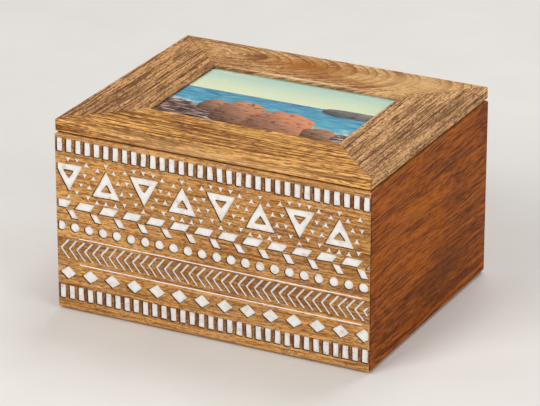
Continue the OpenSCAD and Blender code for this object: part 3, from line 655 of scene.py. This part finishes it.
sky = ramp(tree, v, [(0.60, (0.93, 0.90, 0.72)), (0.78, (0.84, 0.86, 0.74)), (1.0, (0.66, 0.78, 0.74))])
cloud = ramp(tree, stretched_noise(tree, frac, (2.6, 8.0, 1.0)), [(0.5, 0.0), (0.7, 0.5)])
sky = blend_colours(tree, cloud, sky, (0.93, 0.91, 0.80))
sea = ramp(tree, v, [(0.2, (0.14, 0.58, 0.70)), (0.45, (0.04, 0.42, 0.62)), (HORIZON, (0.03, 0.30, 0.54))])
swell = ramp(tree, stretched_noise(tree, frac, (9.0, 80.0, 1.0)), [(0.42, 0.0), (0.62, 0.85)])
sea = blend_colours(tree, swell, sea, (0.45, 0.74, 0.80))
over_sea = calc(tree, "MULTIPLY_ADD", calc(tree, "SUBTRACT", v, HORIZON), 220.0, 0.5, clamp=True)
scene_colour = blend_colours(tree, over_sea, sea, sky)
wash = stretched_noise(tree, frac, (5.0, 9.0, 1.0))
shore = calc(tree, "MULTIPLY_ADD", wash, 0.30, calc(tree, "MULTIPLY_ADD", u, -0.12, 0.20))
above = calc(tree, "SUBTRACT", v, shore)
ledges = stretched_noise(tree, frac, (12.0, 46.0, 1.0), detail=5.0)
reef = ramp(tree, ledges, [(0.40, (0.035, 0.018, 0.022)), (0.50, (0.26, 0.10, 0.08)),
                           (0.58, (0.62, 0.42, 0.36)), (0.66, (0.90, 0.86, 0.82))])
on_reef = calc(tree, "MULTIPLY_ADD", above, -60.0, 0.5, clamp=True)
scene_colour = blend_colours(tree, on_reef, scene_colour, reef)
from_shore = calc(tree, "MULTIPLY", calc(tree, "ABSOLUTE", above), 22.0)
foam_line = calc(tree, "SUBTRACT", 1.0, from_shore, clamp=True)
foam = calc(tree, "MULTIPLY", foam_line, ramp(tree, stretched_noise(tree, frac, (26.0, 60.0, 1.0)),
                                              [(0.42, 0.0), (0.55, 1.0)]), clamp=True)
scene_colour = blend_colours(tree, foam, scene_colour, (0.92, 0.93, 0.92))

def boulder(colour, middle, size, dark, pale):
    """Adds one rounded boulder over the colour, lit from the upper right and cracked in layers."""
    off_x = calc(tree, "DIVIDE", calc(tree, "SUBTRACT", u, middle[0]), size[0])
    off_y = calc(tree, "DIVIDE", calc(tree, "SUBTRACT", v, middle[1]), size[1])
    far = calc(tree, "SQRT", calc(tree, "ADD", calc(tree, "POWER", calc(tree, "ABSOLUTE", off_x), 2.4),
                                  calc(tree, "POWER", calc(tree, "ABSOLUTE", off_y), 2.4)))
    rugged = stretched_noise(tree, frac, (13.0, 13.0, 1.0), detail=3.0)
    body = calc(tree, "MULTIPLY_ADD", calc(tree, "SUBTRACT", rugged, 0.5), 0.55, far)
    solid = calc(tree, "MULTIPLY_ADD", calc(tree, "SUBTRACT", 1.0, body), 22.0, 0.5, clamp=True)
    layers = stretched_noise(tree, frac, (12.0, 60.0, 1.0), detail=5.0)
    slope = calc(tree, "MULTIPLY_ADD", off_x, 0.20, calc(tree, "MULTIPLY", off_y, 0.26))
    lit = calc(tree, "MULTIPLY_ADD", layers, 0.9, slope)
    cracks = stretched_noise(tree, frac, (26.0, 30.0, 1.0), detail=5.0)
    cracks = ramp(tree, cracks, [(0.36, 0.8), (0.44, 0.0)])
    rock = blend_colours(tree, cracks, ramp(tree, lit, [(0.10, dark), (0.70, pale)]), (0.06, 0.02, 0.015))
    return blend_colours(tree, solid, colour, rock)

for middle, size, dark, pale in (
        ((0.88, 0.58), (0.16, 0.07), (0.14, 0.12, 0.14), (0.46, 0.40, 0.38)),
        ((0.23, 0.33), (0.065, 0.11), (0.15, 0.045, 0.022), (0.78, 0.42, 0.24)),
        ((0.38, 0.27), (0.12, 0.22), (0.18, 0.05, 0.025), (0.86, 0.46, 0.26)),
        ((0.62, 0.17), (0.17, 0.26), (0.24, 0.065, 0.03), (0.92, 0.47, 0.27)),
        ((0.84, 0.15), (0.08, 0.11), (0.12, 0.035, 0.02), (0.74, 0.40, 0.24))):
    scene_colour = boulder(scene_colour, middle, size, dark, pale)
tree.links.new(scene_colour, shader.inputs["Base Color"])
ink = stretched_noise(tree, place, (900.0, 900.0, 900.0), detail=2.0)
tree.links.new(calc(tree, "MULTIPLY_ADD", ink, 0.1, 0.3), shader.inputs["Roughness"])
add_relief(tree, shader, 0.05, 0.0001, ink)
shader.inputs["Specular IOR Level"].default_value = 0.2
finish_node("picture_print", picture)

# %% [markdown]
# ## Glass
# The pane is picture glass, clear with a faint green body, and coated so that it reflects little,
# which the low index of refraction stands for. A little noise in the roughness is the film that
# cleaning leaves. A renderer treats glass as an obstacle to lamps, which would leave the
# print under it dark, so the rays that look for a lamp see a clear shader instead.

# %% Glass pane
glass, tree, shader, place = start_material("picture glass")
film = stretched_noise(tree, place, (60.0, 60.0, 60.0))
tree.links.new(ramp(tree, film, [(0.3, (0.95, 0.985, 0.97)), (0.7, (0.98, 0.995, 0.985))]),
               shader.inputs["Base Color"])
tree.links.new(calc(tree, "MULTIPLY", film, 0.03), shader.inputs["Roughness"])
add_relief(tree, shader, 0.01, 0.0001, film)
shader.inputs["Metallic"].default_value = 0.0
shader.inputs["Transmission Weight"].default_value = 1.0
shader.inputs["IOR"].default_value = 1.2
path = add_node(tree, "ShaderNodeLightPath")
clear = add_node(tree, "ShaderNodeBsdfTransparent", {"Color": (0.94, 0.97, 0.955, 1)})
for_lamps = add_node(tree, "ShaderNodeMixShader", {0: path.outputs["Is Shadow Ray"],
                                                   1: shader.outputs[0], 2: clear.outputs[0]})
tree.links.new(for_lamps.outputs[0], tree.nodes["Material Output"].inputs["Surface"])
finish_node("glass_pane", glass)

# %% [markdown]
# ## Boards inside and underneath
# The backing behind the picture is brown fibreboard, pressed from wood fibres that lie every way.
# The bottom is thin plywood: pale veneer with fine lines.

# %% Fibreboard and plywood
fibreboard, tree, shader, place = start_material("fibreboard")
long_fibres = stretched_noise(tree, place, (420.0, 1500.0, 900.0))
cross_fibres = stretched_noise(tree, place, (1500.0, 420.0, 900.0))
felted = calc(tree, "MAXIMUM", long_fibres, cross_fibres)
tree.links.new(ramp(tree, felted, [(0.42, (0.12, 0.065, 0.035)), (0.72, (0.27, 0.165, 0.095))]),
               shader.inputs["Base Color"])
tree.links.new(calc(tree, "MULTIPLY_ADD", felted, 0.2, 0.6), shader.inputs["Roughness"])
add_relief(tree, shader, 0.3, 0.0002, felted)
finish_node("backing_board", fibreboard)

plywood = board_material(
    "bottom plywood", ALONG_X, (0.2, 0.09, 0.10), (0.68, 0.49, 0.30), (0.50, 0.32, 0.17),
    (0.30, 0.18, 0.09), rings=120.0, ring_strength=0.4, wander=0.03, patch=0.3, pores=0.3,
    block=((0, 0, 0.0092), (0.1197, 0.0947, 0.002)), rim=(0.6, 0.42, 0.25), rim_wear_and_highlight=0.1)
finish_node("bottom_board", plywood)

# %% [markdown]
# ## Brass, steel and felt
# Hinges, screws and turn buttons are stamped brass that has dulled a little; the wedges in the
# frame corners are bright steel; the feet and the two dots under the lid are pressed wool felt.
# One metal recipe serves brass and steel, with a tarnish noise for colour and roughness.

# %% Metal and felt
def metal(name, bright, dull, smooth, rough, brushing):
    """Metal that is bright and smooth in places and dull in others, with fine brushing."""
    material, tree, shader, place = start_material(name)
    tarnish = stretched_noise(tree, place, (220.0, 220.0, 220.0), detail=5.0)
    lines = stretched_noise(tree, place, brushing, detail=2.0)
    tree.links.new(ramp(tree, tarnish, [(0.35, bright), (0.72, dull)]), shader.inputs["Base Color"])
    tree.links.new(calc(tree, "MULTIPLY_ADD", tarnish, rough - smooth, smooth), shader.inputs["Roughness"])
    add_relief(tree, shader, 0.12, 0.0001, lines)
    shader.inputs["Metallic"].default_value = 1.0
    return material

brass = metal("dulled brass", (0.80, 0.58, 0.25), (0.52, 0.35, 0.14), 0.22, 0.5, (120.0, 2600.0, 2600.0))
steel = metal("wedge steel", (0.62, 0.62, 0.63), (0.40, 0.39, 0.38), 0.25, 0.55, (2600.0, 2600.0, 90.0))
for name in nodes:
    if "hinge" in name or "turn_button" in name:
        finish_node(name, brass)
finish_node("lid_corner_wedges", steel)

felt, tree, shader, place = start_material("wool felt")
wool = stretched_noise(tree, place, (1300.0, 1300.0, 1300.0), detail=5.0, rough=0.7)
tree.links.new(ramp(tree, wool, [(0.35, (0.018, 0.013, 0.011)), (0.7, (0.055, 0.042, 0.036))]),
               shader.inputs["Base Color"])
tree.links.new(calc(tree, "MULTIPLY_ADD", wool, 0.1, 0.88), shader.inputs["Roughness"])
add_relief(tree, shader, 0.7, 0.0004, wool)
shader.inputs["Sheen Weight"].default_value = 0.3
print("felt:", len(tree.nodes), "nodes")

# %% [markdown]
# ## Felt feet and lid dots
# The box stands on four felt discs, and the lid comes down on two smaller ones at the front
# corners of the walls. In the solids they are short cylinders. Real ones are punched from a felt
# sheet: the punch rounds the rim over, and loose fibres make the outline a little uneven. So each
# disc is made again in the space of its cylinder, with a rounded rim and a nudged outline.

# %% Make the felt discs
RIM_ROUNDING, LOOSE_FIBRES, FIBRE_WAVES = 0.0004, 0.00012, 1400

def felt_discs(name, node):
    """One piece with a punched disc in the place of each cylinder of a node."""
    cylinders = {}
    for v in nodes[node].data.vertices:
        cylinders.setdefault((v.co.x > 0, v.co.y > 0), []).append(v.co)
    punched = bmesh.new()
    for points in cylinders.values():
        low = Vector([min(p[i] for p in points) for i in range(3)])
        high = Vector([max(p[i] for p in points) for i in range(3)])
        radius, middle = (high.x - low.x) / 2, (low + high) / 2
        disc = bmesh.ops.create_cone(punched, cap_ends=True, segments=48, radius1=radius, radius2=radius,
                                     depth=high.z - low.z, matrix=Matrix.Translation(middle))
        rim = dict.fromkeys(e for v in disc["verts"] for e in v.link_edges
                            if abs(e.verts[0].co.z - e.verts[1].co.z) < 1e-7)
        rounded = bmesh.ops.bevel(punched, geom=list(rim), offset=RIM_ROUNDING, segments=4, profile=0.5,
                                  affect="EDGES")
        for v in rounded["verts"]:
            loose = LOOSE_FIBRES * abs(noise.noise(v.co * FIBRE_WAVES))
            out = Vector((v.co.x - middle.x, v.co.y - middle.y, 0))
            v.co -= out.normalized() * loose
    for f in punched.faces:
        f.smooth = len(f.verts) == 4
    felt_mesh = bpy.data.meshes.new(name)
    punched.to_mesh(felt_mesh)
    punched.free()
    felt_mesh.materials.append(felt)
    piece = bpy.data.objects.new(name, felt_mesh)
    scene.collection.objects.link(piece)
    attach(piece, "box")
    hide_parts(node)
    print(name, "with", len(cylinders), "discs,", len(felt_mesh.polygons), "faces")

felt_discs("felt_feet", "foot_pads")
felt_discs("felt_dots", "lid_rest_pads")

# %% [markdown]
# ## Floor
# The box stands on a plain pale floor that only has to catch its shadow.

# %% Floor
FLOOR_HALF = 6

ground = bmesh.new()
bmesh.ops.create_grid(ground, x_segments=1, y_segments=1, size=FLOOR_HALF)
floor_mesh = bpy.data.meshes.new("floor")
ground.to_mesh(floor_mesh)
ground.free()
floor = bpy.data.objects.new("floor", floor_mesh)
scene.collection.objects.link(floor)
paper, tree, shader, place = start_material("pale paper")
mottle = stretched_noise(tree, place, (9.0, 9.0, 9.0))
tree.links.new(ramp(tree, mottle, [(0.3, (0.80, 0.775, 0.74)), (0.7, (0.84, 0.82, 0.785))]),
               shader.inputs["Base Color"])
shader.inputs["Roughness"].default_value = 0.8
shader.inputs["Specular IOR Level"].default_value = 0.1
floor_mesh.materials.append(paper)
print("floor of", round(floor.dimensions.x, 2), "m")
